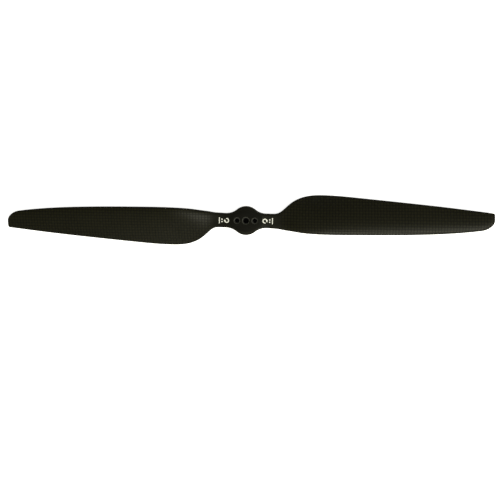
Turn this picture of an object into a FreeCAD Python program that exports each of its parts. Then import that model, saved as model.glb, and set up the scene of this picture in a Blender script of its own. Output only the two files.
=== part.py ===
"""Two-blade carbon fibre propeller, 13 inch diameter by 5.5 inch pitch, clockwise seen from above.

The propeller is a hand-laid sandwich, modelled as the pieces that go into its mould:
two woven carbon skins that run from tip to tip and meet at a seam round the outline,
a spar ply of straight fibres under each skin, a drilled carbon block with two doublers
in the hub, and in each blade a foam core between a leading-edge tow and a trailing-edge
filler. Two printed marks lie on the necks beside the hub.

Millimetres. +Z is the thrust direction, and the blades lie along X. The origin is on the
centre bore's axis, at the hub's lower face, where the propeller sits on its motor.
The right blade reaches along +X, with its leading edge towards -Y. Everything on the
left blade is the same, turned half a turn about Z.
"""

import FreeCAD, Part

import math
import os

import Sketcher
from FreeCAD import Placement, Rotation, Vector

# ---------------------------------------------------------------- driving dimensions

HUB = {
    "hub_height": 6.5,  # between the two machined faces
    "hub_radius": 9.8,
    "hub_blend_radius": 11.7,  # concave arcs from the hub into the necks
    "neck_half_width": 4.9,
    "hub_crown": 0.7,  # how far the moulded hub stands above the neck
    "hub_crown_flat": 8.5,  # half length of the crown before it falls to the neck
    "hub_crown_fall": 7.0,
    "facing_half_length": 15.0,  # the machined faces are cut within this box
    "facing_half_width": 11.0,
    "facing_depth": 2.0,
    "bore_radius": 2.0,
    "bolt_hole_radius": 1.6,
    "bolt_spacing": 12.0,
    "hole_chamfer": 0.5,
}

BLADE = {
    "tip_radius": 165.1,
    "pitch": 139.7,
    "twist_start": 14.0,  # the necks are flat up to here
    "twist_full": 55.0,  # true helical pitch from here outwards
    "airfoil_start": 16.0,
    "airfoil_full": 40.0,
    "camber": 0.045,
    "camber_place": 0.4,
    "tip_round_start": 157.0,  # the leading corner is a quarter ellipse from here
    "tip_round_centre": 2.5,  # how far behind the blade axis that ellipse is centred
    "tip_corner_radius": 1.2,
    "seam_half_height": 0.06,  # witness line of the mould along the leading edge
    "trailing_half_height": 0.2,
}

LAYUP = {
    "skin_thickness": 0.35,
    "spar_ply_thickness": 0.2,
    "glue_gap": 0.03,
    "core_gap": 0.12,  # adhesive film between the core and the tow or filler beside it
    "seam_land": 0.5,  # least width of the joint between the two skins
    "least_cavity": 0.12,  # half height of the cavity at its edges
    "least_core": 0.15,
    "cavity_end": 150.0,
    "spar_ply_end": 134.0,
    "core_start": 17.3,
    "core_end": 130.0,
    "tow_start": 24.0,
    "tow_end": 134.0,
    "tow_width": 2.0,
    "block_half_length": 17.0,
    "block_radius": 8.6,
    "block_neck_half_width": 3.6,
    "block_height": 3.4,
    "block_fillet": 9.0,
    "doubler_half_length": 9.0,
    "doubler_half_width": 6.5,
    "doubler_thickness": 0.95,
}

MARK = {
    "mark_film": 0.05,
    "mark_lift": 0.01,
    "mark_ring_place": 12.9,
    "mark_ring_radius": 1.6,
    "mark_ring_bore": 1.0,
    "mark_ring_angle": 285.0,
    "mark_arrow_radius": 0.85,
    "mark_dot_place": 16.1,
    "mark_dot_size": 0.8,
    "mark_dot_spacing": 1.6,
    "mark_bar_place": 17.9,
    "mark_bar_width": 0.55,
    "mark_bar_length": 4.1,
}

# Outline and thickness of the blade at its stations: radius, leading edge ahead of the
# blade axis, trailing edge behind it, and greatest thickness.
STATIONS = {
    "neck": (14.0, 4.9, 4.9, 5.4),
    "stem": (18.0, 5.1, 4.85, 5.2),
    "flare": (22.0, 5.4, 5.55, 4.9),
    "swell": (26.0, 6.1, 8.6, 4.5),
    "shoulder": (30.0, 6.6, 12.1, 4.15),
    "elbow": (35.0, 7.3, 15.05, 3.8),
    "root": (42.0, 7.95, 17.15, 3.4),
    "widest": (52.0, 8.35, 17.75, 3.0),
    "inner": (75.0, 8.4, 16.3, 2.5),
    "middle": (105.0, 7.95, 13.6, 2.0),
    "outer": (135.0, 6.6, 10.7, 1.5),
    "shoulder_tip": (156.0, 4.45, 8.35, 1.15),
    "tip": (165.1, 3.1, 7.3, 1.0),
}
STATION_COLUMNS = ("radius", "lead", "trail", "thickness")

HUB_SQUARENESS = 5.0  # exponent of the rounded box that is the hub's section
THICKEST_SHARE = 0.35  # place of the greatest thickness along the chord
CHORD_POINTS = 20
BISECTION_STEPS = 40
TIP_ROWS = 8
FINE_REACH = 16.0  # rows are closest over the hub, and widest along the blade
MIDDLE_REACH = 50.0
FINE_STEP = 1.0
MIDDLE_STEP = 2.0
COARSE_STEP = 5.3
SAME_PLACE = 1e-3  # points this close together are one
SEAM_TOLERANCE = 1e-5
HALF_TURN = Placement(Vector(0, 0, 0), Rotation(Vector(0, 0, 1), 180))


def fill_sheet(sheet):
    """Writes every driving dimension to the sheet: its name in column A, its value in B."""
    named = {**HUB, **BLADE, **LAYUP, **MARK}
    for station, values in STATIONS.items():
        for column, value in zip(STATION_COLUMNS, values):
            named[f"{station}_{column}"] = value
    for row, (name, value) in enumerate(named.items(), start=1):
        sheet.set(f"A{row}", name)
        sheet.set(f"B{row}", str(value))
        sheet.setAlias(f"B{row}", name)


doc = FreeCAD.newDocument("propeller")
sheet = doc.addObject("Spreadsheet::Sheet", "Sizes")
fill_sheet(sheet)
doc.recompute()

hub_height = sheet.hub_height
middle_height = hub_height / 2
hub_radius = sheet.hub_radius
hub_blend_radius = sheet.hub_blend_radius
neck_half_width = sheet.neck_half_width
tip_radius = sheet.tip_radius
skin_thickness = sheet.skin_thickness
spar_ply_thickness = sheet.spar_ply_thickness
glue_gap = sheet.glue_gap

# ---------------------------------------------------------------- the moulded form


def ease(share):
    """0 below 0, 1 above 1, and a smooth step between them."""
    share = min(max(share, 0.0), 1.0)
    return share * share * (3 - 2 * share)


def station_curve():
    """Cubic curve of (lead, trail, thickness), whose parameter is the radius."""
    stations = [
        [getattr(sheet, f"{name}_{column}") for column in STATION_COLUMNS]
        for name in STATIONS
    ]
    curve = Part.BSplineCurve()
    curve.interpolate(
        Points=[Vector(*station[1:]) for station in stations],
        Parameters=[station[0] for station in stations],
    )
    return curve


BLADE_CURVE = station_curve()


def hub_half_width(radius):
    """The hub's circle, then the concave arc that meets the neck's straight side."""
    blend_centre_height = neck_half_width + hub_blend_radius
    centres_apart = hub_radius + hub_blend_radius
    blend_centre = math.sqrt(centres_apart**2 - blend_centre_height**2)
    if radius < blend_centre * hub_radius / centres_apart:
        return math.sqrt(hub_radius**2 - radius**2)
    if radius < blend_centre:
        across = blend_centre - radius
        return blend_centre_height - math.sqrt(hub_blend_radius**2 - across**2)
    return neck_half_width


def quarter_round(radius, start, length):
    """1 up to start, then falls to 0 as a quarter circle does over length."""
    share = min(max((radius - start) / length, 0.0), 1.0)
    return math.sqrt(1 - share * share)


def edges(radius):
    """How far the leading and trailing edges are from the blade axis at a radius."""
    if radius < sheet.neck_radius:
        half = hub_half_width(radius)
        return half, half
    station = BLADE_CURVE.value(radius)
    centre = sheet.tip_round_centre
    round_length = tip_radius - sheet.tip_round_start
    corner = sheet.tip_corner_radius
    swept = quarter_round(radius, sheet.tip_round_start, round_length)
    cut = quarter_round(radius, tip_radius - corner, corner)
    lead = (station.x + centre) * swept - centre
    trail = station.y - corner * (1 - cut)
    return lead, trail


def outline(x):
    """Lowest and highest Y of the propeller at an X, on either blade."""
    lead, trail = edges(abs(x))
    return (-lead, trail) if x >= 0 else (-trail, lead)


def camber_line(chord_share):
    """Height of a four-digit aerofoil's mean line over its chord, per unit of chord."""
    most, place = sheet.camber, sheet.camber_place
    if chord_share < place:
        return most / place**2 * (2 * place * chord_share - chord_share**2)
    rear = 1 - 2 * place + 2 * place * chord_share - chord_share**2
    return most / (1 - place) ** 2 * rear


def aerofoil_half_thickness(chord_share):
    """Half thickness of a four-digit aerofoil, per unit of its greatest thickness."""
    t = chord_share
    root = 0.2969 * math.sqrt(t)
    return 5 * (root - 0.1260 * t - 0.3516 * t**2 + 0.2843 * t**3 - 0.1036 * t**4)


def section(x, y):
    """Height of the middle surface and half thickness of the moulding at (x, y)."""
    if x < 0:
        x, y = -x, -y
    lead, trail = edges(x)
    chord = lead + trail
    share = min(max((y + lead) / chord, 0.0), 1.0)
    airfoil = ease((x - sheet.airfoil_start) / (sheet.airfoil_full - sheet.airfoil_start))
    twist_reach = sheet.twist_full - sheet.twist_start
    twist = ease((x - sheet.twist_start) / twist_reach)
    slope = twist * sheet.pitch / (2 * math.pi * x) if x > 0 else 0.0
    middle = middle_height + (0.5 - share) * chord * slope
    middle += airfoil * chord * camber_line(share)

    thickness = BLADE_CURVE.value(max(x, sheet.neck_radius)).z
    crown = 1 - ease((x - sheet.hub_crown_flat) / sheet.hub_crown_fall)
    across = abs(2 * share - 1) ** HUB_SQUARENESS
    box = (1 - across) ** (1 / HUB_SQUARENESS)
    boxed = (thickness / 2 + sheet.hub_crown * crown) * box
    tip_length = tip_radius - sheet.tip_round_start
    thin = quarter_round(x, sheet.tip_round_start, tip_length)
    foil = thickness * thin * math.sqrt(1 + slope * slope) * aerofoil_half_thickness(share)
    behind = sheet.trailing_half_height - sheet.seam_half_height
    edge = sheet.seam_half_height + behind * share * airfoil
    return middle, edge + (1 - airfoil) * boxed + airfoil * foil


def height(side, depth):
    """Height function of the layer that lies a depth under the upper (1) or lower (-1)
    surface of the moulding."""

    def at(x, y):
        middle, half = section(x, y)
        return middle + side * (half - depth)

    return at


def middle_surface(x, y):
    return section(x, y)[0]


def band(cover, land):
    """Y limits, as a function of X, within which the moulding's half thickness is at
    least cover, and which keep at least land away from the outline."""

    def limits(x):
        low, high = outline(x)
        peak = low + (high - low) * (THICKEST_SHARE if x > 0 else 1 - THICKEST_SHARE)
        found = []
        for start in (low, high):
            inward = math.copysign(land, peak - start)
            near, far = start + inward, peak
            if section(x, near)[1] < cover:
                for _ in range(BISECTION_STEPS):
                    half_way = (near + far) / 2
                    if section(x, half_way)[1] < cover:
                        near = half_way
                    else:
                        far = half_way
            found.append(near)
        return tuple(found)

    return limits


def behind_tow(limits):
    """Limits drawn in at the leading edge by the width of the tow there."""
    start, end = sheet.core_start, sheet.tow_start

    def drawn(x):
        low, high = limits(x)
        width = sheet.tow_width * ease((abs(x) - start) / (end - start))
        low_margin, high_margin = (width, 0.0) if x > 0 else (0.0, width)
        return low + low_margin + glue_gap, high - high_margin - glue_gap

    return drawn


# ---------------------------------------------------------------- faces and solids


def spread(start, end, step):
    """Evenly spaced values from start to just before end, about a step apart."""
    count = max(1, round((end - start) / step))
    return [start + (end - start) * i / count for i in range(count)]


def blade_rows(start, end):
    """X of the rows of control points from start to end on the right blade."""
    steps = (
        (0.0, FINE_REACH, FINE_STEP),
        (FINE_REACH, MIDDLE_REACH, MIDDLE_STEP),
        (MIDDLE_REACH, end, COARSE_STEP),
    )
    rows = []
    for low, high, step in steps:
        low, high = max(low, start), min(high, end)
        if high > low:
            rows += spread(low, high, step)
    return rows + [end]


def tip_to_tip(right_rows):
    return [-x for x in reversed(right_rows[1:])] + right_rows


def cosine_shares(count):
    """Shares from 0 to 1 that crowd towards both ends."""
    return [(1 - math.cos(math.pi * i / count)) / 2 for i in range(count + 1)]


def grid(rows, limits, level):
    """Control points of a surface: a row for each X, a column for each share of Y."""
    points = []
    for x in rows:
        low, high = limits(x)
        ys = [low + (high - low) * share for share in cosine_shares(CHORD_POINTS)]
        points.append([Vector(x, y, level(x, y)) for y in ys])
    return points


def clamped_knots(count, degree):
    spans = count - degree
    return list(range(spans + 1)), [degree + 1] + [1] * (spans - 1) + [degree + 1]


def surface(points):
    """Face of the cubic surface with these control points, or ruled if it has two rows."""
    degree_u = min(3, len(points) - 1)
    degree_v = min(3, len(points[0]) - 1)
    knots_u, times_u = clamped_knots(len(points), degree_u)
    knots_v, times_v = clamped_knots(len(points[0]), degree_v)
    made = Part.BSplineSurface()
    made.buildFromPolesMultsKnots(
        points, times_u, times_v, knots_u, knots_v, False, False, degree_u, degree_v
    )
    return made.toShape()


def rim(points):
    """The four edges of a grid, as rows of control points."""
    first = [row[0] for row in points]
    last = [row[-1] for row in points]
    return [points[0], last, points[-1], first]


def walls(upper, lower):
    """The four ruled faces between the rims of two grids."""
    return [surface([a, b]) for a, b in zip(rim(upper), rim(lower))]


def solid(faces):
    """Sews faces into one closed solid, right side out."""
    shell = Part.makeShell(faces)
    shell.sewShape(SEAM_TOLERANCE)
    made = Part.makeSolid(shell.Shells[0] if shell.Shells else Part.Shell(shell.Faces))
    if made.Volume < 0:
        made.reverse()
    return made


def slab(rows, limits, upper_level, lower_level):
    """Solid between two height functions, over rows of X and limits of Y."""
    upper = grid(rows, limits, upper_level)
    lower = grid(rows, limits, lower_level)
    return solid([surface(upper), surface(lower), *walls(upper, lower)])


def feature(name, shape, placement=None):
    """A free-form piece, as a Part::Feature of the document."""
    made = doc.addObject("Part::Feature", name)
    made.Shape = shape
    if placement is not None:
        made.Placement = placement
    return made


def bind(thing, **expressions):
    """Binds properties of a document object to expressions on the sheet's cells."""
    for name, expression in expressions.items():
        thing.setExpression(name.replace("__", "."), expression)
    return thing


# ---------------------------------------------------------------- drills and facing cuts


def cylinder(name, radius, low, length, place="0"):
    made = doc.addObject("Part::Cylinder", name)
    return bind(
        made,
        Radius=radius,
        Height=length,
        Placement__Base__x=place,
        Placement__Base__z=low,
    )


def drill(name, radius, place):
    """A drill right through the hub, with a countersink at the upper face."""
    through = "Sizes.hub_height + 2 * Sizes.facing_depth"
    sink = doc.addObject("Part::Cone", f"{name}_sink")
    bind(
        sink,
        Radius1=radius,
        Radius2=f"{radius} + 2 * Sizes.hole_chamfer",
        Height="2 * Sizes.hole_chamfer",
        Placement__Base__x=place,
        Placement__Base__z="Sizes.hub_height - Sizes.hole_chamfer",
    )
    made = doc.addObject("Part::MultiFuse", name)
    made.Shapes = [
        cylinder(f"{name}_shank", radius, "-Sizes.facing_depth", through, place),
        sink,
    ]
    return made


def facing_box(name, low):
    made = doc.addObject("Part::Box", name)
    return bind(
        made,
        Length="2 * Sizes.facing_half_length",
        Width="2 * Sizes.facing_half_width",
        Height="Sizes.facing_depth",
        Placement__Base__x="-Sizes.facing_half_length",
        Placement__Base__y="-Sizes.facing_half_width",
        Placement__Base__z=low,
    )


def make_cutters():
    """Everything that is drilled or faced after moulding, as one tool."""
    tools = doc.addObject("Part::MultiFuse", "machining")
    tools.Shapes = [
        drill("centre_drill", "Sizes.bore_radius", "0"),
        drill("right_drill", "Sizes.bolt_hole_radius", "Sizes.bolt_spacing / 2"),
        drill("left_drill", "Sizes.bolt_hole_radius", "-Sizes.bolt_spacing / 2"),
        facing_box("upper_facing", "Sizes.hub_height"),
        facing_box("lower_facing", "-Sizes.facing_depth"),
    ]
    return tools


def machined(name, blank, cutters):
    made = doc.addObject("Part::Cut", name)
    made.Base = blank
    made.Tool = cutters
    return made


# ---------------------------------------------------------------- skins and spar plies

CAVITY = band(skin_thickness + sheet.least_cavity, sheet.seam_land)
SPAR_COVER = skin_thickness + spar_ply_thickness + sheet.least_core
SPAR_BAND = behind_tow(band(SPAR_COVER, sheet.seam_land))


def skin_rows():
    """Rows of the outer face, which crowd round the tip, and of the cavity inside it,
    which keep step with them but stop short of the tip."""
    start = sheet.tip_round_start
    outer = blade_rows(0.0, start)
    quarter = math.pi / 2 / TIP_ROWS
    outer += [
        start + (tip_radius - start) * math.sin(quarter * i)
        for i in range(1, TIP_ROWS + 1)
    ]
    shared = sheet.cavity_end - 2 * COARSE_STEP
    squeeze = (sheet.cavity_end - shared) / (tip_radius - shared)
    cavity = [x if x < shared else shared + (x - shared) * squeeze for x in outer]
    return tip_to_tip(outer), tip_to_tip(cavity)


def make_skin(name, side, cutters):
    """A woven skin: its outer face, the seam round it, and the cavity in it."""
    outer_rows, cavity_rows = skin_rows()
    face = grid(outer_rows, outline, height(side, 0.0))
    seam = grid(outer_rows, outline, middle_surface)
    ledge = grid(cavity_rows, CAVITY, middle_surface)
    lining = grid(cavity_rows, CAVITY, height(side, skin_thickness))
    faces = [surface(face), surface(lining)]
    faces += walls(face, seam) + walls(seam, ledge) + walls(ledge, lining)
    blank = feature(f"{name}_blank", solid(faces))
    return machined(name, blank, cutters)


def make_spar_ply(name, side, cutters):
    rows = tip_to_tip(blade_rows(0.0, sheet.spar_ply_end))
    near = skin_thickness + glue_gap
    far = near + spar_ply_thickness
    blank = feature(
        f"{name}_blank", slab(rows, SPAR_BAND, height(side, near), height(side, far))
    )
    return machined(name, blank, cutters)


# ---------------------------------------------------------------- blade filling


def filling(start, end, limits, depth):
    """Solid that fills the cavity between the layers that lie this deep in it."""
    rows = blade_rows(start, end)
    return slab(rows, limits, height(1, depth), height(-1, depth))


def beside_core(leading):
    """Limits of the strip between the spar plies and the cavity's edge on one side."""

    def limits(x):
        core_low, core_high = SPAR_BAND(x)
        cavity_low, cavity_high = CAVITY(x)
        if leading:
            return cavity_low + glue_gap, core_low - sheet.core_gap
        return core_high + sheet.core_gap, cavity_high - glue_gap

    return limits


def make_fillings():
    """Foam core, leading tow and trailing filler of each blade."""
    core_depth = skin_thickness + spar_ply_thickness + 2 * glue_gap
    edge_depth = skin_thickness + glue_gap
    core_span = sheet.core_start, sheet.core_end
    edge_span = sheet.tow_start, sheet.tow_end
    shapes = {
        "foam_core": filling(*core_span, SPAR_BAND, core_depth),
        "leading_tow": filling(*edge_span, beside_core(True), edge_depth),
        "trailing_filler": filling(*edge_span, beside_core(False), edge_depth),
    }
    made = []
    for piece, shape in shapes.items():
        made.append(feature(f"right_{piece}", shape))
        made.append(feature(f"left_{piece}", shape, HALF_TURN))
    return made


# ---------------------------------------------------------------- hub block and doublers


def origin_plane(body, role):
    return next(f for f in body.Origin.OriginFeatures if f.Role == role)


def new_sketch(body, name, plane):
    sketch = body.newObject("Sketcher::SketchObject", name)
    sketch.AttachmentSupport = (plane, [""])
    sketch.MapMode = "FlatFace"
    return sketch


def circle(sketch, radius, place="", sign=0):
    """A circle on the sketch's X axis: its radius, and its distance from the origin on
    the side given by sign, are bound to the sheet."""
    rough = Part.Circle(Vector(2 * sign, 0, 0), Vector(0, 0, 1), 1.0)
    index = sketch.addGeometry(rough, False)
    centre, origin, x_axis = (index, 3), (-1, 1), -1
    if sign == 0:
        sketch.addConstraint(Sketcher.Constraint("Coincident", *centre, *origin))
    else:
        sketch.addConstraint(Sketcher.Constraint("PointOnObject", *centre, x_axis))
        ends = (*origin, *centre) if sign > 0 else (*centre, *origin)
        number = sketch.addConstraint(Sketcher.Constraint("DistanceX", *ends, 2.0))
        sketch.setExpression(f"Constraints[{number}]", place)
    number = sketch.addConstraint(Sketcher.Constraint("Radius", index, 1.0))
    sketch.setExpression(f"Constraints[{number}]", radius)


def rectangle(sketch, half_length, half_width):
    """A rectangle centred on the origin, with its half sides bound to the sheet."""
    corners = [Vector(-2, -1, 0), Vector(2, -1, 0), Vector(2, 1, 0), Vector(-2, 1, 0)]
    for i in range(4):
        sketch.addGeometry(Part.LineSegment(corners[i], corners[(i + 1) % 4]), False)
    for i in range(4):
        sketch.addConstraint(Sketcher.Constraint("Coincident", i, 2, (i + 1) % 4, 1))
    for i, direction in enumerate(("Horizontal", "Vertical", "Horizontal", "Vertical")):
        sketch.addConstraint(Sketcher.Constraint(direction, i))
    sketch.addConstraint(Sketcher.Constraint("Symmetric", 0, 1, 2, 1, -1, 1))
    for kind, half in (("DistanceX", half_length), ("DistanceY", half_width)):
        number = sketch.addConstraint(Sketcher.Constraint(kind, -1, 1, 2, 1, 1.0))
        sketch.setExpression(f"Constraints[{number}]", half)


def pad(body, name, sketch, length):
    made = body.newObject("PartDesign::Pad", name)
    made.Profile = sketch
    made.Midplane = True
    made.setExpression("Length", length)
    return made


def make_hub_block():
    """Flat carbon block: a disc with two short arms, cut from plate and drilled."""
    body = doc.addObject("PartDesign::Body", "hub_block")
    plane = origin_plane(body, "XY_Plane")
    disc = new_sketch(body, "block_disc", plane)
    circle(disc, "Sizes.block_radius")
    pad(body, "block_disc_pad", disc, "Sizes.block_height")
    arms = new_sketch(body, "block_arms", plane)
    rectangle(arms, "Sizes.block_half_length", "Sizes.block_neck_half_width")
    arm_pad = pad(body, "block_arm_pad", arms, "Sizes.block_height")
    doc.recompute()

    fillet = body.newObject("PartDesign::Fillet", "block_blends")
    fillet.Base = (arm_pad, inside_corners(arm_pad.Shape))
    fillet.setExpression("Radius", "Sizes.block_fillet")
    holes = new_sketch(body, "block_holes", plane)
    circle(holes, "Sizes.bore_radius")
    for sign in (-1, 1):
        circle(holes, "Sizes.bolt_hole_radius", "Sizes.bolt_spacing / 2", sign)
    doc.recompute()
    before = fillet.Shape.Volume
    pocket = body.newObject("PartDesign::Pocket", "block_drilling")
    pocket.Profile = holes
    pocket.Type = "ThroughAll"
    pocket.Midplane = True
    doc.recompute()
    if not pocket.Shape.Volume < before:
        raise RuntimeError("the hub block's holes cut nothing")
    bind(body, Placement__Base__z="Sizes.hub_height / 2")
    return body


def inside_corners(shape):
    """Names of the upright edges where the disc meets the arms."""
    meeting = math.sqrt(sheet.block_radius**2 - sheet.block_neck_half_width**2)
    names = []
    for number, edge in enumerate(shape.Edges, start=1):
        ends = [vertex.Point for vertex in edge.Vertexes]
        upright = len(ends) == 2 and abs(ends[0].z - ends[1].z) > sheet.block_height / 2
        if upright and abs(abs(ends[0].x) - meeting) < SAME_PLACE:
            names.append(f"Edge{number}")
    return names


def make_doubler(name, low, cutters):
    """Oval carbon plate that builds the hub up above or below its block."""
    oval = doc.addObject("Part::Ellipse", f"{name}_outline")
    bind(
        oval,
        MajorRadius="Sizes.doubler_half_length",
        MinorRadius="Sizes.doubler_half_width",
        Placement__Base__z=low,
    )
    blank = doc.addObject("Part::Extrusion", f"{name}_blank")
    blank.Base = oval
    blank.DirMode = "Custom"
    blank.Dir = Vector(0, 0, 1)
    blank.Solid = True
    blank.setExpression("LengthFwd", "Sizes.doubler_thickness")
    return machined(name, blank, cutters)


def make_doublers(cutters):
    stack = "Sizes.hub_height / 2"
    above = f"{stack} + Sizes.block_height / 2 + Sizes.glue_gap"
    below = f"{stack} - Sizes.block_height / 2 - Sizes.glue_gap - Sizes.doubler_thickness"
    make_doubler("top_hub_doubler", above, cutters)
    make_doubler("bottom_hub_doubler", below, cutters)


# ---------------------------------------------------------------- printed marks


def mark_box(name, place, side_place, length, width):
    made = doc.addObject("Part::Box", name)
    return bind(
        made,
        Length=length,
        Width=width,
        Height="2 * Sizes.hub_height",
        Placement__Base__x=f"{place} - ({length}) / 2",
        Placement__Base__y=f"{side_place} - ({width}) / 2",
    )


def make_stencil():
    """The mark's outline, as upright prisms: a turning arrow, two dots and a bar."""
    tall = "2 * Sizes.hub_height"
    ring_place = "Sizes.mark_ring_place"
    disc = cylinder("ring_disc", "Sizes.mark_ring_radius", "0", tall, ring_place)
    disc.setExpression("Angle", "Sizes.mark_ring_angle")
    hole = cylinder("ring_hole", "Sizes.mark_ring_bore", "0", tall, ring_place)
    ring = doc.addObject("Part::Cut", "ring")
    ring.Base, ring.Tool = disc, hole
    arrow = doc.addObject("Part::Prism", "ring_arrow")
    arrow.Polygon = 3
    middle = "(Sizes.mark_ring_radius + Sizes.mark_ring_bore) / 2"
    bind(
        arrow,
        Circumradius="Sizes.mark_arrow_radius",
        Height=tall,
        Placement__Base__x=f"{ring_place} + {middle}",
    )
    arrow.Placement.Rotation = Rotation(Vector(0, 0, 1), -90)
    dot = "Sizes.mark_dot_size"
    dots = [
        mark_box(f"dot_{name}", "Sizes.mark_dot_place", side, dot, dot)
        for name, side in (
            ("low", "-Sizes.mark_dot_spacing / 2"),
            ("high", "Sizes.mark_dot_spacing / 2"),
        )
    ]
    bar = mark_box(
        "bar", "Sizes.mark_bar_place", "0", "Sizes.mark_bar_width", "Sizes.mark_bar_length"
    )
    stencil = doc.addObject("Part::MultiFuse", "mark_stencil")
    stencil.Shapes = [ring, arrow, *dots, bar]
    return stencil


def make_marks():
    """Thin printed film that follows the neck, cut to the stencil, beside the hub."""
    lift = -sheet.mark_lift
    film_top = lift - sheet.mark_film
    start = sheet.mark_ring_place - 2 * sheet.mark_ring_radius
    end = sheet.mark_bar_place + 2 * sheet.mark_bar_width
    rows = spread(start, end, FINE_STEP) + [end]

    def limits(_):
        return -sheet.mark_bar_length, sheet.mark_bar_length

    film = feature("mark_film", slab(rows, limits, height(1, film_top), height(1, lift)))
    right = doc.addObject("Part::Common", "right_mark")
    right.Base, right.Tool = film, make_stencil()
    doc.recompute()
    feature("left_mark", right.Shape.copy(), HALF_TURN)


# ---------------------------------------------------------------- build and write

SUB_PARTS = [
    "top_skin",
    "bottom_skin",
    "top_spar_ply",
    "bottom_spar_ply",
    "hub_block",
    "top_hub_doubler",
    "bottom_hub_doubler",
    "right_foam_core",
    "left_foam_core",
    "right_leading_tow",
    "left_leading_tow",
    "right_trailing_filler",
    "left_trailing_filler",
    "right_mark",
    "left_mark",
]


def check_document():
    """Stops if any object failed to recompute, or a sub-part's shape isn't sound."""
    for thing in doc.Objects:
        if {"Invalid", "Error"} & set(thing.State):
            raise RuntimeError(f"{thing.Label} failed: {thing.State}")
    for name in SUB_PARTS:
        shape = doc.getObjectsByLabel(name)[0].Shape
        if shape.isNull() or not shape.isValid() or shape.Volume <= 0:
            raise RuntimeError(f"{name} has no sound shape")


def write_parts():
    os.makedirs("parts", exist_ok=True)
    for name in SUB_PARTS:
        shape = doc.getObjectsByLabel(name)[0].Shape
        shape.exportStep(f"parts/{name}.step")
        print(f"{name}: {len(shape.Solids)} solids, {shape.Volume:.1f} mm3")


cutters = make_cutters()
for side_name, side in (("top", 1), ("bottom", -1)):
    make_skin(f"{side_name}_skin", side, cutters)
    make_spar_ply(f"{side_name}_spar_ply", side, cutters)
make_fillings()
make_hub_block()
make_doublers(cutters)
make_marks()
doc.recompute()
check_document()
write_parts()
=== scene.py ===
"""A two-blade carbon fibre propeller, 13 in by 5.5 in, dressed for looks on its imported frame.

Metres, in the frame of the CAD: blades along X, thrust along +Z, and the origin on the
centre bore's axis at the hub's lower face.
"""

import math

import bpy
import numpy as np
from mathutils import Matrix, Vector


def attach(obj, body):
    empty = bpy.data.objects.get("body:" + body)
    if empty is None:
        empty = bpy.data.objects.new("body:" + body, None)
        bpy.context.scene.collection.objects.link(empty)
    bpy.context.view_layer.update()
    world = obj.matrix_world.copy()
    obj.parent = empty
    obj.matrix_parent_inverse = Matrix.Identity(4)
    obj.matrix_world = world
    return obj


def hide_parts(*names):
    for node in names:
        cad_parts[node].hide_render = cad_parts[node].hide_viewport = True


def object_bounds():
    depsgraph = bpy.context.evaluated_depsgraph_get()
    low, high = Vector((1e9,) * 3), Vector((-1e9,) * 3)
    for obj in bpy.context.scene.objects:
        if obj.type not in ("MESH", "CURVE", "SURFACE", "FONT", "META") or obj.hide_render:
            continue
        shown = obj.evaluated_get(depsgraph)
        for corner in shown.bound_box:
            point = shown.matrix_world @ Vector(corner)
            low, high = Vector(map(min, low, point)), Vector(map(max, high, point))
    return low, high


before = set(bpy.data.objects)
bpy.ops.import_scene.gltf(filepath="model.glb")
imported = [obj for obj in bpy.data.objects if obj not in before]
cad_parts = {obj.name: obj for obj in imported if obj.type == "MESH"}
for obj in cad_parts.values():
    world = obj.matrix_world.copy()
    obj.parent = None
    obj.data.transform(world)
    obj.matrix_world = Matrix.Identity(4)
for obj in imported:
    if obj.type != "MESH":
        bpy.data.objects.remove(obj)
cad_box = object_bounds()
MM = 0.001

# ------------------------------------------------------------------ woven skins
# Two skins of plain-weave carbon cloth, one per face, wetted out in a matt mould and
# joined at a seam round the outline. They are the whole outside of the propeller. The
# hub is faced flat after moulding, and drilled and countersunk through the layers.

hub_height = 6.5 * MM
hub_radius = 9.8 * MM
hub_blend_radius = 11.7 * MM
neck_half_width = 4.9 * MM
neck_end = 14.0 * MM
tip_radius = 165.1 * MM
tip_round_start = 157.0 * MM
tip_round_centre = 2.5 * MM
tip_corner_radius = 1.2 * MM
skin_thickness = 0.35 * MM
bore_radius = 2.0 * MM
bolt_hole_radius = 1.6 * MM
bolt_spacing = 12.0 * MM
countersink = 0.5 * MM
crown_flat, crown_end = 8.5 * MM, 15.5 * MM
airfoil_start, airfoil_full = 16.0 * MM, 40.0 * MM
twist_start, twist_full = 14.0 * MM, 55.0 * MM
facing_length, facing_width, facing_depth = 30.0 * MM, 22.0 * MM, 4.0 * MM
section_squareness = 5.0
same_place = 0.001 * MM
crisp_angle = math.radians(30)

# Radius, leading edge ahead of the blade axis, trailing edge behind it, and thickness.
BLADE_STATIONS = np.array(
    [
        (14.0, 4.9, 4.9, 5.4),
        (18.0, 5.1, 4.85, 5.2),
        (22.0, 5.4, 5.55, 4.9),
        (26.0, 6.1, 8.6, 4.5),
        (30.0, 6.6, 12.1, 4.15),
        (35.0, 7.3, 15.05, 3.8),
        (42.0, 7.95, 17.15, 3.4),
        (52.0, 8.35, 17.75, 3.0),
        (75.0, 8.4, 16.3, 2.5),
        (105.0, 7.95, 13.6, 2.0),
        (135.0, 6.6, 10.7, 1.5),
        (156.0, 4.45, 8.35, 1.15),
        (165.1, 3.1, 7.3, 1.0),
    ]
) * MM


def spline_slopes(at, values):
    """Slopes at the stations of the smooth cubic through them."""
    gap = np.diff(at)
    rise = np.diff(values) / gap
    count = len(at)
    matrix, right = np.eye(count), np.zeros(count)
    right[0], right[-1] = rise[0], rise[-1]
    for i in range(1, count - 1):
        matrix[i, i - 1 : i + 2] = gap[i], 2 * (gap[i - 1] + gap[i]), gap[i - 1]
        right[i] = 3 * (gap[i] * rise[i - 1] + gap[i - 1] * rise[i])
    return np.linalg.solve(matrix, right)


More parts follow.
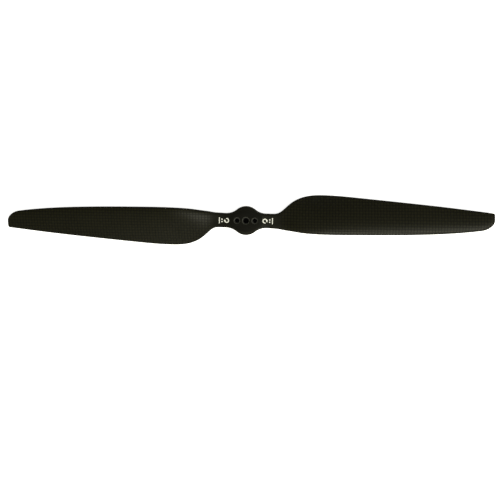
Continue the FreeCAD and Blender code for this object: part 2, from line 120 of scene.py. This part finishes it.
def along_stations(radii, column):
    """Lead, trail or thickness at each radius, by the cubic through the stations."""
    at, values = BLADE_STATIONS[:, 0], BLADE_STATIONS[:, column]
    slopes = spline_slopes(at, values)
    left = np.clip(np.searchsorted(at, radii) - 1, 0, len(at) - 2)
    gap = at[left + 1] - at[left]
    t = (radii - at[left]) / gap
    value = (2 * t**3 - 3 * t**2 + 1) * values[left] + (3 * t**2 - 2 * t**3) * values[left + 1]
    value += gap * ((t**3 - 2 * t**2 + t) * slopes[left] + (t**3 - t**2) * slopes[left + 1])
    return value


def quarter_round(radii, start, length):
    """1 up to start, then down to 0 over length as a quarter circle is."""
    share = np.clip((radii - start) / length, 0, 1)
    return np.sqrt(1 - share**2)


def hub_half_width(radii):
    """Half width of the hub's disc and of the concave arcs that blend it to the necks."""
    arc_height = neck_half_width + hub_blend_radius
    apart = hub_radius + hub_blend_radius
    arc_centre = math.sqrt(apart**2 - arc_height**2)
    disc = np.sqrt(np.maximum(hub_radius**2 - radii**2, 0))
    across = np.clip(arc_centre - radii, 0, hub_blend_radius)
    arc = arc_height - np.sqrt(hub_blend_radius**2 - across**2)
    return np.where(radii < arc_centre * hub_radius / apart, disc, arc)


def planform(radii):
    """Lead, trail, thickness and share of it left at the rounded tip, at each radius."""
    outer = np.maximum(radii, neck_end)
    lead, trail, thickness = (along_stations(outer, column) for column in (1, 2, 3))
    swept = quarter_round(radii, tip_round_start, tip_radius - tip_round_start)
    cut = quarter_round(radii, tip_radius - tip_corner_radius, tip_corner_radius)
    lead = (lead + tip_round_centre) * swept - tip_round_centre
    trail = trail - tip_corner_radius * (1 - cut)
    in_hub = radii < neck_end
    half = hub_half_width(radii)
    return np.where(in_hub, half, lead), np.where(in_hub, half, trail), thickness, swept


CLOSE_REACH = 30.0  # mm from the axis within which the cross-sections are closest
CLOSE_STEP = 0.5  # mm
BLADE_ROWS = 200
TIP_ROWS = 25


def build_spine():
    """A line of points from tip to tip, one per cross-section, that carry its outline.
    The last point at each end repeats, closed, so that the skin gets an end wall."""
    inner = np.arange(0, CLOSE_REACH, CLOSE_STEP) * MM
    middle = np.linspace(CLOSE_REACH * MM, tip_round_start, BLADE_ROWS, endpoint=False)
    turned = np.radians(np.linspace(0, 90, TIP_ROWS))
    tip = tip_round_start + (tip_radius - tip_round_start) * np.sin(turned)
    right = np.concatenate([inner, middle, tip])
    lead, trail, thickness, swept = planform(right)
    x = np.concatenate([-right[:0:-1], right])
    low = np.concatenate([-trail[:0:-1], -lead])
    high = np.concatenate([lead[:0:-1], trail])
    columns = {
        "low": low,
        "high": high,
        "thickness": np.concatenate([thickness[:0:-1], thickness]),
        "tip_left": np.concatenate([swept[:0:-1], swept]),
        "wall_open": np.ones(len(x)),
    }
    columns = {name: np.pad(values, 1, "edge") for name, values in columns.items()}
    columns["wall_open"][[0, -1]] = 0
    spine = bpy.data.meshes.new("spine")
    spine.from_pydata([(value, 0, 0) for value in np.pad(x, 1, "edge")], [], [])
    for name, values in columns.items():
        spine.attributes.new(name, "FLOAT", "POINT").data.foreach_set("value", values)
    return spine


class Wire:
    """One output of a node in a tree. Sums on wires add the tree's Math nodes."""

    def __init__(self, tree, socket=None):
        self.tree, self.socket = tree, socket

    def add(self, kind, settings=None, sockets=None, output=0):
        """Adds a node: its settings first, then the values or wires of its sockets. A
        list of wires goes into one socket."""
        node = self.tree.nodes.new(kind)
        for name, value in (settings or {}).items():
            setattr(node, name, value)
        for key, value in (sockets or {}).items():
            if isinstance(value, list):
                for wire in value:
                    self.tree.links.new(wire.socket, node.inputs[key])
            elif isinstance(value, Wire):
                self.tree.links.new(value.socket, node.inputs[key])
            else:
                node.inputs[key].default_value = value
        return Wire(self.tree, node.outputs[output] if node.outputs else None)

    def __getitem__(self, name):
        """Another output of the same node."""
        return Wire(self.tree, self.socket.node.outputs[name])

    def joined(self, operation, *operands):
        return self.add("ShaderNodeMath", {"operation": operation}, dict(enumerate(operands)))

    def math(self, operation, *others):
        """A Math node that is given this wire first."""
        return self.joined(operation, self, *others)

    def __add__(self, other):
        return self.joined("ADD", self, other)

    def __sub__(self, other):
        return self.joined("SUBTRACT", self, other)

    def __rsub__(self, other):
        return self.joined("SUBTRACT", other, self)

    def __mul__(self, other):
        return self.joined("MULTIPLY", self, other)

    def __truediv__(self, other):
        return self.joined("DIVIDE", self, other)

    def __pow__(self, other):
        return self.joined("POWER", self, other)

    def __gt__(self, other):
        return self.joined("GREATER_THAN", self, other)

    def __lt__(self, other):
        return self.joined("LESS_THAN", self, other)

    def __abs__(self):
        return self.joined("ABSOLUTE", self)

    __radd__, __rmul__ = __add__, __mul__

    def root(self):
        return self.math("SQRT")

    def between(self, start, end):
        """0 before start, 1 after end, and a smooth step between them."""
        settings = {"interpolation_type": "SMOOTHSTEP"}
        sockets = {"Value": self, "From Min": start, "From Max": end}
        return self.add("ShaderNodeMapRange", settings, sockets)

    def choose(self, first, second):
        """first where this is 0, second where it is 1."""
        return first + self * (second - first)


class Recipe:
    """A Geometry Nodes tree with named inputs for its sizes."""

    def __init__(self, name, sizes):
        self.tree = bpy.data.node_groups.new(name, "GeometryNodeTree")
        sockets = self.tree.interface
        sockets.new_socket("Geometry", in_out="INPUT", socket_type="NodeSocketGeometry")
        sockets.new_socket("Geometry", in_out="OUTPUT", socket_type="NodeSocketGeometry")
        self.sizes = {}
        for label, value in sizes.items():
            kind = {int: "NodeSocketInt", float: "NodeSocketFloat"}.get(
                type(value), "NodeSocketMaterial"
            )
            made = sockets.new_socket(label, in_out="INPUT", socket_type=kind)
            self.sizes[label] = (made.identifier, value)
        self.wire = Wire(self.tree)
        self.given = self.wire.add("NodeGroupInput")

    def apply(self, mesh, name):
        """Runs the tree on a mesh and returns the result as a plain mesh object."""
        source = bpy.data.objects.new(name, mesh)
        bpy.context.scene.collection.objects.link(source)
        modifier = source.modifiers.new("recipe", "NODES")
        modifier.node_group = self.tree
        for identifier, value in self.sizes.values():
            modifier[identifier] = value
        ready = source.evaluated_get(bpy.context.evaluated_depsgraph_get())
        made = bpy.data.meshes.new_from_object(ready)
        source.modifiers.remove(modifier)
        source.data = made
        made.name = name
        return source


CHORD_POINTS = 56
HOLE_SIDES = 96


def build_skin_recipe(name, side, cloth, cut):
    """Tree that hangs a skin on the spine: its moulded face, its lining, and its holes."""
    recipe = Recipe(
        name,
        {
            "Side": float(side),
            "Chord Points": CHORD_POINTS,
            "Hub Height": hub_height,
            "Skin Thickness": skin_thickness,
            "Pitch": 139.7 * MM,
            "Camber": 0.045,
            "Camber Place": 0.4,
            "Crown Height": 0.7 * MM,
            "Seam Half Height": 0.06 * MM,
            "Trailing Half Height": 0.2 * MM,
            "Bore Radius": bore_radius,
            "Bolt Hole Radius": bolt_hole_radius,
            "Bolt Spacing": bolt_spacing,
            "Countersink": countersink,
            "Cloth": cloth,
            "Cut Carbon": cut,
        },
    )
    wire, given = recipe.wire, recipe.given
    spine = given["Geometry"]
    rows = wire.add("GeometryNodeAttributeDomainSize", {}, {"Geometry": spine})["Point Count"]
    chord_points = given["Chord Points"]
    columns = 2 * chord_points + 1
    net = wire.add(
        "GeometryNodeMeshGrid", {}, {"Vertices X": rows, "Vertices Y": columns}
    )["Mesh"]

    # Each column is a place round the section: out along the face, back on the lining.
    index = wire.add("GeometryNodeInputIndex")
    row = ((index + 0.5) / columns).math("FLOOR")
    place = (index - row * columns).math("MODULO", 2 * chord_points)
    lining = place > (chord_points - 0.5)
    step = lining.choose(place, 2 * chord_points - 1 - place)
    turned = step / (chord_points - 1) * math.pi
    share = (1 - turned.math("COSINE")) / 2

    def from_spine(value, kind="FLOAT"):
        sockets = {"Geometry": spine, "Value": value, "Index": row}
        return wire.add("GeometryNodeSampleIndex", {"data_type": kind}, sockets)

    def column(label):
        named = wire.add(
            "GeometryNodeInputNamedAttribute", {"data_type": "FLOAT"}, {"Name": label}
        )
        return from_spine(named)

    spot = from_spine(wire.add("GeometryNodeInputPosition"), "FLOAT_VECTOR")
    x = wire.add("ShaderNodeSeparateXYZ", {}, {"Vector": spot})["X"]
    low, high = column("low"), column("high")
    chord = high - low
    y = low + chord * share
    reach = abs(x)
    back = (x < 0).choose(share, 1 - share)

    # Middle surface: helical twist about the blade axis, and a four-digit mean line.
    airfoil = reach.between(airfoil_start, airfoil_full)
    twist = reach.between(twist_start, twist_full)
    slope = twist * given["Pitch"] / (2 * math.pi * reach.math("MAXIMUM", MM))
    most, peak = given["Camber"], given["Camber Place"]
    fore = most / peak**2 * (2 * peak * back - back**2)
    aft = most / (1 - peak) ** 2 * (1 - 2 * peak + 2 * peak * back - back**2)
    mean_line = (back > peak).choose(fore, aft)
    middle = given["Hub Height"] / 2 + (0.5 - back) * chord * slope
    middle = middle + airfoil * chord * mean_line

    # Half thickness: a rounded box in the hub and necks, an aerofoil along the blade.
    thickness = column("thickness")
    crown = 1 - reach.between(crown_flat, crown_end)
    across = abs(2 * back - 1) ** section_squareness
    box = (1 - across).math("MAXIMUM", 0) ** (1 / section_squareness)
    boxed = (thickness / 2 + given["Crown Height"] * crown) * box
    polynomial = 0.2969 * back.root() - 0.126 * back - 0.3516 * back**2
    polynomial = polynomial + 0.2843 * back**3 - 0.1036 * back**4
    stretch = (1 + slope * slope).root()
    foil = 5 * thickness * column("tip_left") * stretch * polynomial
    behind = given["Trailing Half Height"] - given["Seam Half Height"]
    edge = given["Seam Half Height"] + behind * back * airfoil
    half = edge + airfoil.choose(boxed, foil)
    inner_half = (half - given["Skin Thickness"]).math("MAXIMUM", 0)
    level = lining.choose(half * column("wall_open"), inner_half)
    z = middle + given["Side"] * level

    position = wire.add("ShaderNodeCombineXYZ", {}, {"X": x, "Y": y, "Z": z})
    skin = wire.add("GeometryNodeSetPosition", {}, {"Geometry": net, "Position": position})
    laid = wire.add("ShaderNodeCombineXYZ", {}, {"X": x, "Y": y * stretch})
    settings = {"data_type": "FLOAT_VECTOR", "domain": "POINT"}
    laid = wire.add("GeometryNodeFieldOnDomain", settings, {"Value": laid})
    to_edge = (y - low).math("MINIMUM", high - y)
    for label, kind, domain, value in (
        ("cloth", "FLOAT2", "CORNER", laid),
        ("edge_distance", "FLOAT", "POINT", to_edge),
    ):
        settings = {"data_type": kind, "domain": domain}
        sockets = {"Geometry": skin, "Name": label, "Value": value}
        skin = wire.add("GeometryNodeStoreNamedAttribute", settings, sockets)
    skin = wire.add(
        "GeometryNodeMergeByDistance", {}, {"Geometry": skin, "Distance": same_place}
    )
    skin = wire.add(
        "GeometryNodeFlipFaces", {}, {"Mesh": skin, "Selection": given["Side"] < 0}
    )

    # Facing cuts and drills.
    def shift(shape, x=0.0, z=0.0):
        offset = wire.add("ShaderNodeCombineXYZ", {}, {"X": x, "Z": z})
        sockets = {"Geometry": shape, "Translation": offset}
        return wire.add("GeometryNodeTransform", {}, sockets)

    sink = given["Countersink"]
    height = given["Hub Height"]
    tools = []
    for place_x, radius in (
        (0.0, given["Bore Radius"]),
        (given["Bolt Spacing"] / 2, given["Bolt Hole Radius"]),
        (0 - given["Bolt Spacing"] / 2, given["Bolt Hole Radius"]),
    ):
        sockets = {"Vertices": HOLE_SIDES, "Radius": radius, "Depth": 4 * height}
        shank = wire.add("GeometryNodeMeshCylinder", {}, sockets)["Mesh"]
        tools.append(shift(shank, place_x, 0.0))
        sockets = {
            "Vertices": HOLE_SIDES,
            "Radius Top": radius + 2 * sink,
            "Radius Bottom": radius,
            "Depth": 2 * sink,
        }
        cone = wire.add("GeometryNodeMeshCone", {}, sockets)["Mesh"]
        tools.append(shift(cone, place_x, height - sink))
    for centre in (height + facing_depth / 2, 0 - facing_depth / 2):
        sockets = {"Size": (facing_length, facing_width, facing_depth)}
        block = wire.add("GeometryNodeMeshCube", {}, sockets)["Mesh"]
        tools.append(shift(block, 0.0, centre))

    solver = "GeometryNodeMeshBoolean"
    settings = {"operation": "UNION", "solver": "EXACT"}
    tool = wire.add(solver, settings, {"Mesh 2": tools})["Mesh"]
    settings = {"data_type": "BOOLEAN", "domain": "FACE"}
    sockets = {"Geometry": tool, "Name": "cut", "Value": True}
    tool = wire.add("GeometryNodeStoreNamedAttribute", settings, sockets)
    settings = {"operation": "DIFFERENCE", "solver": "EXACT"}
    machined = wire.add(solver, settings, {"Mesh 1": skin, "Mesh 2": tool})["Mesh"]

    # Smooth over the moulded face, crisp round the machined faces.
    angle = wire.add("GeometryNodeInputMeshEdgeAngle")["Unsigned Angle"]
    was_cut = wire.add(
        "GeometryNodeInputNamedAttribute", {"data_type": "BOOLEAN"}, {"Name": "cut"}
    )
    smooth = wire.add("GeometryNodeSetShadeSmooth", {"domain": "FACE"}, {"Geometry": machined})
    crisp = wire.add(
        "GeometryNodeSetShadeSmooth",
        {"domain": "EDGE"},
        {"Geometry": smooth, "Selection": angle > crisp_angle, "Shade Smooth": False},
    )
    real = wire.add("GeometryNodeRealizeInstances", {}, {"Geometry": crisp})
    dressed = wire.add(
        "GeometryNodeSetMaterial", {}, {"Geometry": real, "Material": given["Cloth"]}
    )
    dressed = wire.add(
        "GeometryNodeSetMaterial",
        {},
        {"Geometry": dressed, "Selection": was_cut, "Material": given["Cut Carbon"]},
    )
    wire.add("NodeGroupOutput", {}, {"Geometry": dressed})
    return recipe


def new_material(name, **constants):
    """A material whose shader has these constant values; returns it, and a wire to grow
    its nodes from with the shader as its socket."""
    material = bpy.data.materials.new(name)
    material.use_nodes = True
    shader = material.node_tree.nodes["Principled BSDF"]
    for label, value in constants.items():
        shader.inputs[label.replace("_", " ")].default_value = value
    return material, Wire(material.node_tree), shader


def feed(wire, shader, **links):
    """Links wires to the sockets of a shader that they name."""
    for label, value in links.items():
        wire.tree.links.new(value.socket, shader.inputs[label.replace("_", " ")])


def mix_colours(wire, factor, first, second):
    """Colour that goes from first to second with factor. A Mix node has its colours at
    sockets 6 and 7, and its colour result at output 2."""
    first, second = (
        value if isinstance(value, Wire) else (*value, 1) for value in (first, second)
    )
    sockets = {0: factor, 6: first, 7: second}
    return wire.add("ShaderNodeMix", {"data_type": "RGBA"}, sockets, output=2)


tow_width = 2.0 * MM
fibres_across = 22
crest_height = 0.06 * MM
weave_start, weave_full = 21.0 * MM, 26.0 * MM
bead_start, bead_end = 0.25 * MM, 0.9 * MM


def build_cloth_material():
    """Plain-weave carbon under a thin matt resin: square cells 2 mm wide, warp and weft
    by turns, each with a rounded crest and fine straight fibres along its tow."""
    material, wire, shader = new_material(
        "plain_weave_carbon", IOR=1.5, Specular_IOR_Level=0.13
    )
    cloth = wire.add("ShaderNodeUVMap", {"uv_map": "cloth"})
    split = wire.add("ShaderNodeSeparateXYZ", {}, {"Vector": cloth})
    u, v = split["X"], split["Y"]
    along, across = u / tow_width, v / tow_width
    cells = along.math("FLOOR") + across.math("FLOOR")
    weft = cells.math("FLOORED_MODULO", 2)
    local_u = along.math("FRACT") - 0.5
    local_v = across.math("FRACT") - 0.5
    run = weft.choose(local_u, local_v)
    side = weft.choose(local_v, local_u)
    crest = (run * math.pi).math("COSINE") ** 0.8
    round_over = 1 - abs(2 * side) ** 2.5
    relief = crest * (0.35 + 0.65 * round_over)

    strand = wire.add(
        "ShaderNodeCombineXYZ",
        {},
        {"X": side * fibres_across, "Y": run * 1.1 + cells * 3.7, "Z": weft * 9},
    )
    streak = wire.add(
        "ShaderNodeTexNoise", {}, {"Vector": strand, "Scale": 1.0, "Detail": 2.0}
    )["Fac"]
    place = wire.add("ShaderNodeTexCoord")["Object"]
    cloud = wire.add(
        "ShaderNodeTexNoise", {}, {"Vector": place, "Scale": 45.0, "Detail": 3.0}
    )["Fac"]

    # The weave shows from the blade's root outwards, and not in the bead of resin along
    # the edges. Hub and necks are plain moulding.
    woven = abs(u).between(weave_start, weave_full)
    margin = wire.add("ShaderNodeAttribute", {"attribute_name": "edge_distance"})["Fac"]
    shown = woven * margin.between(bead_start, bead_end)

    # The colour is lighter on each tow's crest and darker in the gaps between tows, a painted
    # highlight and painted shade; the weft cells are a little lighter than the warp, a painted
    # sheen in place of the fibres' reflection by direction. The streaks along the tows and the
    # cloud are the cloth's own tone.
    tone = 0.9 * relief + 0.1 * weft + 0.45 * (streak - 0.5) + 0.4 * (cloud - 0.5)
    bare = 0.35 + 0.4 * (cloud - 0.5)
    tone = shown.choose(bare, tone)
    colour = mix_colours(wire, tone, (0.0005, 0.0005, 0.0002), (0.0115, 0.0111, 0.0044))
    roughness = shown.choose(0.6 + 0.1 * (cloud - 0.5), 0.52 - 0.1 * relief)
    raised = shown * (relief + 0.12 * streak)
    bump = wire.add("ShaderNodeBump", {}, {"Distance": crest_height, "Height": raised})
    feed(wire, shader, Base_Color=colour, Roughness=roughness, Normal=bump)
    return material


layer_pitch = 0.25 * MM


def build_cut_material():
    """Machined laminate: dull on the faced hub, with the layers as fine lines inside the
    holes, and pale grey on the countersinks, partly the cut fibre ends and partly a painted
    highlight."""
    material, wire, shader = new_material("cut_carbon", IOR=1.5, Specular_IOR_Level=0.08)
    spot = wire.add("ShaderNodeTexCoord")
    place = spot["Object"]
    z = wire.add("ShaderNodeSeparateXYZ", {}, {"Vector": place})["Z"]
    facing = abs(wire.add("ShaderNodeSeparateXYZ", {}, {"Vector": spot["Normal"]})["Z"])
    layers = (z * (math.tau / layer_pitch)).math("SINE")
    grain = wire.add(
        "ShaderNodeTexNoise", {}, {"Vector": place, "Scale": 2500.0, "Detail": 2.0}
    )["Fac"]
    # Pale grey on the sloping countersink faces: partly the cut fibre ends, partly a painted
    # highlight.
    cut_ends_and_painted_highlight = facing.between(0.3, 0.5) * (1 - facing.between(0.85, 0.95))
    tone = 0.3 + 0.5 * (grain - 0.5) + 0.1 * layers * (1 - facing)
    dull = mix_colours(wire, tone, (0.0006, 0.0006, 0.0003), (0.009, 0.0088, 0.005))
    colour = mix_colours(wire, cut_ends_and_painted_highlight, dull, (0.1, 0.1, 0.085))
    bump = wire.add("ShaderNodeBump", {}, {"Distance": 0.01 * MM, "Height": grain})
    feed(wire, shader, Base_Color=colour, Roughness=0.5 + 0.15 * grain, Normal=bump)
    return material


cloth_material = build_cloth_material()
cut_material = build_cut_material()
spine_mesh = build_spine()
for side, node in ((1, "top_skin"), (-1, "bottom_skin")):
    skin = build_skin_recipe(f"{node} recipe", side, cloth_material, cut_material).apply(
        spine_mesh, f"woven_{node}"
    )
    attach(skin, "root")
    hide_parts(node)

# ------------------------------------------------------------------ hub and spar layers
# Under the skins a spar ply of straight fibres runs from blade to blade, and a tow lines
# each leading edge. The hub is built up with a drilled carbon plate block and an oval
# doubler on each side of it, laid in the mould with the rest.


def build_straight_carbon():
    """Straight carbon fibres along the blade, set in resin."""
    material, wire, shader = new_material("straight_fibre_carbon", IOR=1.5)
    place = wire.add("ShaderNodeTexCoord")["Object"]
    stretch = (60, 9000, 2500)
    drawn = wire.add(
        "ShaderNodeVectorMath", {"operation": "MULTIPLY"}, {0: place, 1: stretch}
    )
    fibre = wire.add("ShaderNodeTexNoise", {}, {"Vector": drawn, "Scale": 1.0})["Fac"]
    colour = mix_colours(wire, fibre, (0.006, 0.006, 0.006), (0.04, 0.04, 0.038))
    feed(wire, shader, Base_Color=colour, Roughness=0.35 + 0.3 * fibre)
    return material


def refinish(name, material):
    """Gives a CAD node this material in place of its plain one."""
    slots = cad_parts[name].data.materials
    slots.clear()
    slots.append(material)


straight_carbon = build_straight_carbon()
for name in (
    "top_spar_ply",
    "bottom_spar_ply",
    "hub_block",
    "top_hub_doubler",
    "bottom_hub_doubler",
    "right_leading_tow",
    "left_leading_tow",
):
    refinish(name, straight_carbon)

# ------------------------------------------------------------------ blade filling
# Each blade is filled with a slip of fine rigid foam, and its trailing edge with resin
# thickened with powder.


def build_foam_material():
    """Fine closed-cell foam, pale yellow."""
    material, wire, shader = new_material("rigid_foam", Roughness=0.9)
    place = wire.add("ShaderNodeTexCoord")["Object"]
    cell = wire.add("ShaderNodeTexVoronoi", {}, {"Vector": place, "Scale": 3500.0})["Distance"]
    colour = mix_colours(wire, cell, (0.45, 0.42, 0.3), (0.75, 0.72, 0.58))
    bump = wire.add("ShaderNodeBump", {}, {"Distance": 0.05 * MM, "Height": cell})
    feed(wire, shader, Base_Color=colour, Normal=bump)
    return material


def build_filler_material():
    """Grey thickened epoxy, slightly mottled."""
    material, wire, shader = new_material("thickened_epoxy", Roughness=0.55)
    place = wire.add("ShaderNodeTexCoord")["Object"]
    mottle = wire.add("ShaderNodeTexNoise", {}, {"Vector": place, "Scale": 900.0})["Fac"]
    colour = mix_colours(wire, mottle, (0.08, 0.08, 0.07), (0.16, 0.16, 0.15))
    feed(wire, shader, Base_Color=colour)
    return material


foam_material = build_foam_material()
filler_material = build_filler_material()
for blade in ("right", "left"):
    for name, material in (("foam_core", foam_material), ("trailing_filler", filler_material)):
        refinish(f"{blade}_{name}", material)

# ------------------------------------------------------------------ printed marks
# White ink, pad-printed on each neck after moulding: an arrow that shows which way the
# propeller turns, two dots and a bar.


def build_print_material():
    """Matt white ink, a little uneven."""
    material, wire, shader = new_material("white_print", IOR=1.45)
    place = wire.add("ShaderNodeTexCoord")["Object"]
    speckle = wire.add(
        "ShaderNodeTexNoise", {}, {"Vector": place, "Scale": 2200.0, "Detail": 3.0}
    )["Fac"]
    colour = mix_colours(wire, speckle, (0.82, 0.82, 0.8), (0.95, 0.95, 0.93))
    feed(wire, shader, Base_Color=colour, Roughness=0.5 + 0.2 * speckle)
    return material


print_material = build_print_material()
for name in ("right_mark", "left_mark"):
    refinish(name, print_material)

# ------------------------------------------------------------------ studio
# A white light table under a soft key light and four weak fill lights. The table glows,
# but for a disc under the hub that is painted dark and does not glow: a painted shadow that
# keeps its holes dark.

table_half_width = 2.0
# Radius within which the table is painted dark, as a painted shadow under the hub.
painted_shadow_edge = 0.8 * hub_radius
glow_edge = 0.96 * hub_radius
box_distance = 1.4
box_colour = (1.0, 0.99, 0.82)


def build_table():
    """A wide table top, as high as the lowest point of the propeller."""
    lowest = min(corner[2] for corner in cad_box)
    material, wire, shader = new_material("pale_table", Roughness=0.8, Emission_Strength=0.9)
    place = wire.add("ShaderNodeTexCoord")["Object"]
    split = wire.add("ShaderNodeSeparateXYZ", {}, {"Vector": place})
    from_hub = (split["X"] ** 2 + split["Y"] ** 2).root()
    # Painted shadow: within the disc the table's colour is dark and it gives no glow.
    outside_painted_shadow = from_hub.between(painted_shadow_edge, glow_edge)
    feed(
        wire,
        shader,
        Base_Color=mix_colours(wire, outside_painted_shadow, (0.03, 0.03, 0.03), (0.9, 0.9, 0.9)),
        Emission_Color=mix_colours(wire, outside_painted_shadow, (0.0, 0.0, 0.0), (1.0, 1.0, 1.0)),
    )
    mesh = bpy.data.meshes.new("table")
    half = table_half_width
    corners = [(-half, -half), (half, -half), (half, half), (-half, half)]
    mesh.from_pydata([(x, y, lowest) for x, y in corners], [], [(0, 1, 2, 3)])
    mesh.materials.append(material)
    table = bpy.data.objects.new("table", mesh)
    bpy.context.scene.collection.objects.link(table)


def add_soft_box(name, turn, lift, size, power):
    """An area light that faces the hub from this turn about it and lift above the table."""
    data = bpy.data.lights.new(name, "AREA")
    data.shape = "RECTANGLE"
    data.size, data.size_y = size
    data.energy = power
    data.color = box_colour
    turn, lift = math.radians(turn), math.radians(lift)
    flat = math.cos(lift)
    outward = Vector((flat * math.cos(turn), flat * math.sin(turn), math.sin(lift)))
    box = bpy.data.objects.new(name, data)
    box.location = box_distance * outward
    box.rotation_euler = (-outward).to_track_quat("-Z", "Y").to_euler()
    bpy.context.scene.collection.objects.link(box)


build_table()
for name, turn, lift, size, power in (
    ("key_box", -45, 62, (0.7, 0.4), 18.0),
    ("front_box", -90, 30, (1.2, 0.4), 2.6),
    ("right_box", 0, 55, (0.7, 0.4), 2.6),
    ("back_box", 90, 55, (0.7, 0.4), 1.3),
    ("left_box", 180, 30, (0.7, 0.4), 1.8),
):
    add_soft_box(name, turn, lift, size, power)

# The room hardly lights the propeller, and is white behind the table's edge.
room_light, room_white = 0.002, 1.0
world = bpy.data.worlds.new("dim_studio")
world.use_nodes = True
background = world.node_tree.nodes["Background"]
background.inputs["Color"].default_value = (1.0, 1.0, 1.0, 1.0)
wire = Wire(world.node_tree)
seen = wire.add("ShaderNodeLightPath")["Is Camera Ray"]
feed(wire, background, Strength=seen.choose(room_light, room_white))
bpy.context.scene.world = world
bpy.context.scene.view_settings.view_transform = "Standard"

# The camera looks down on the propeller from nearly straight above.
camera_data = bpy.data.cameras.new("camera")
camera_data.lens = 51.0
camera = bpy.data.objects.new("camera", camera_data)
camera.location = (0.0332, 0.0268, 0.4812)
aim = Vector((0.0029, -0.0200, 0.00325))
toward = (aim - camera.location).normalized()
roll = math.radians(0.75)
upward = Vector((-math.sin(roll), math.cos(roll), 0))
right = toward.cross(upward).normalized()
upward = right.cross(toward)
camera.rotation_euler = Matrix((right, upward, -toward)).transposed().to_euler()
bpy.context.scene.collection.objects.link(camera)
bpy.context.scene.camera = camera
